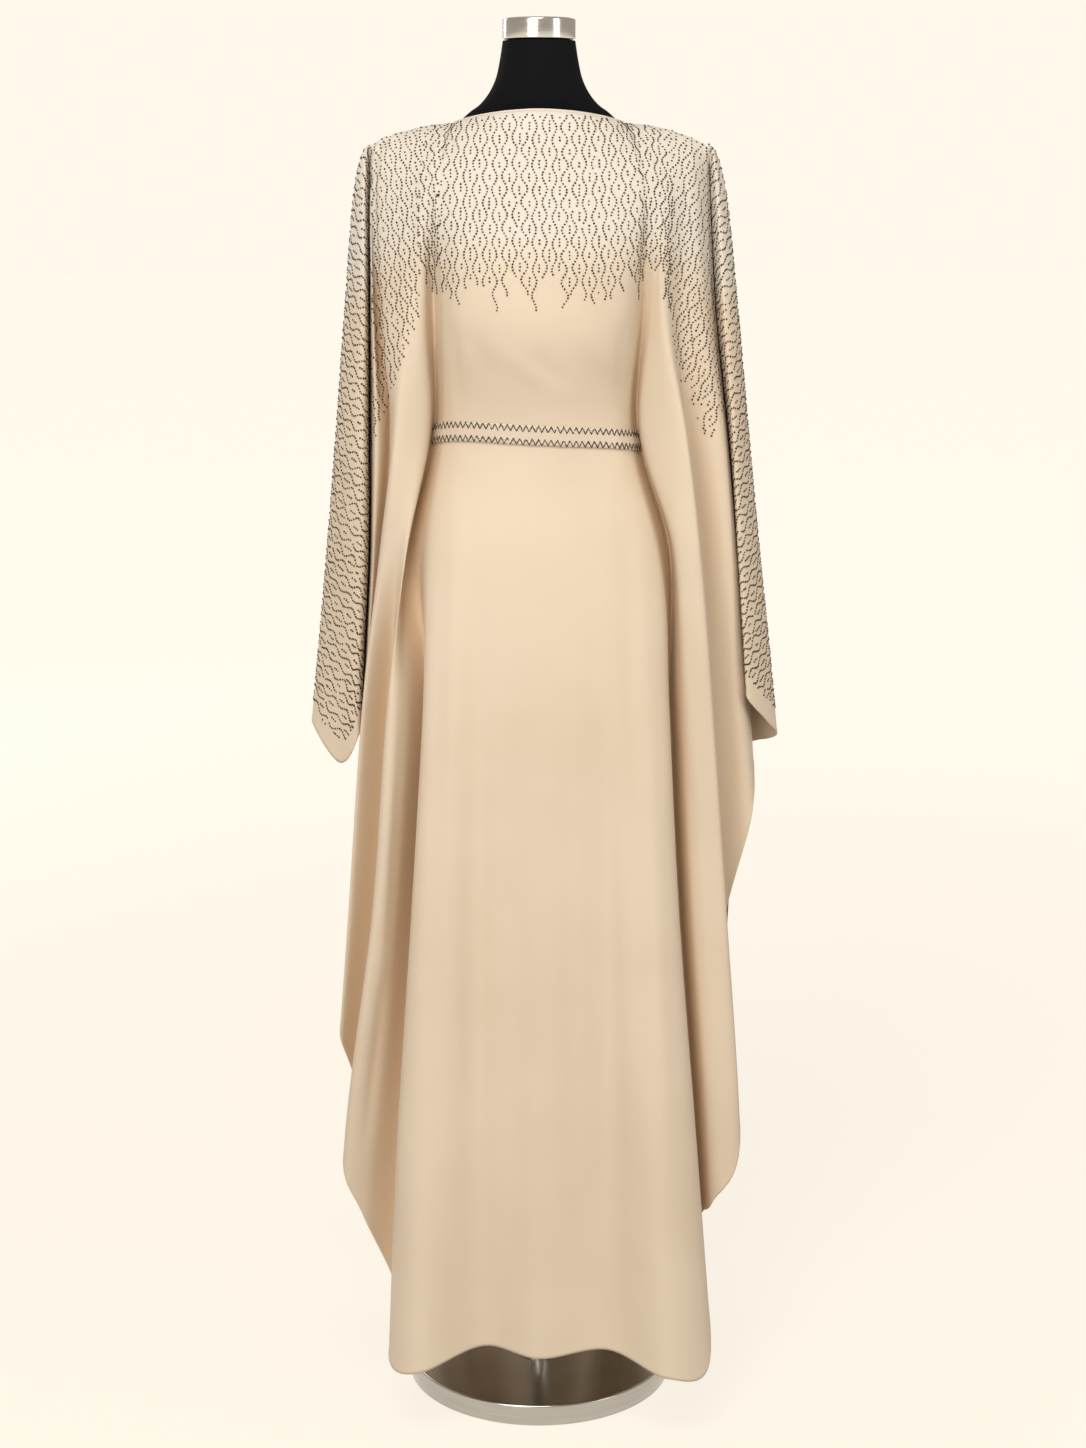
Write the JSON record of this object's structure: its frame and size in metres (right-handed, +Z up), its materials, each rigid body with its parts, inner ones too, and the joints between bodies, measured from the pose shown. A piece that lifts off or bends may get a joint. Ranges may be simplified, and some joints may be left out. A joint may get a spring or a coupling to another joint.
{
  "type": "batwing abaya on a limbless dress form stand",
  "caption": "Beige batwing abaya with studded yoke and sleeves and a narrow front belt, on a black armless dress form with a round steel base.",
  "frame": {"origin": "middle of the base disc's underside, on the pole's axis", "axes": "+Z up along the pole, the front of the abaya faces -Y, +X to the right as seen from the front"},
  "size_m": [0.5486, 0.4046, 1.6225],
  "materials": {
    "crepe": "soft matt satin crepe",
    "belt_satin": "smooth satin",
    "form_cloth": "black jersey",
    "cap_chrome": "polished",
    "stand_steel": "polished top, satin rim"
  },
  "bodies": {
    "root": {"front_panel": "crepe", "back_panel": "crepe", "sleeve_left": "crepe", "sleeve_right": "crepe", "neck_binding": "crepe", "belt": "belt_satin", "form_torso": "form_cloth", "neck_cap": "cap_chrome", "pole": "stand_steel", "flange": "stand_steel", "base_disc": "stand_steel"}
  },
  "joints": []
}
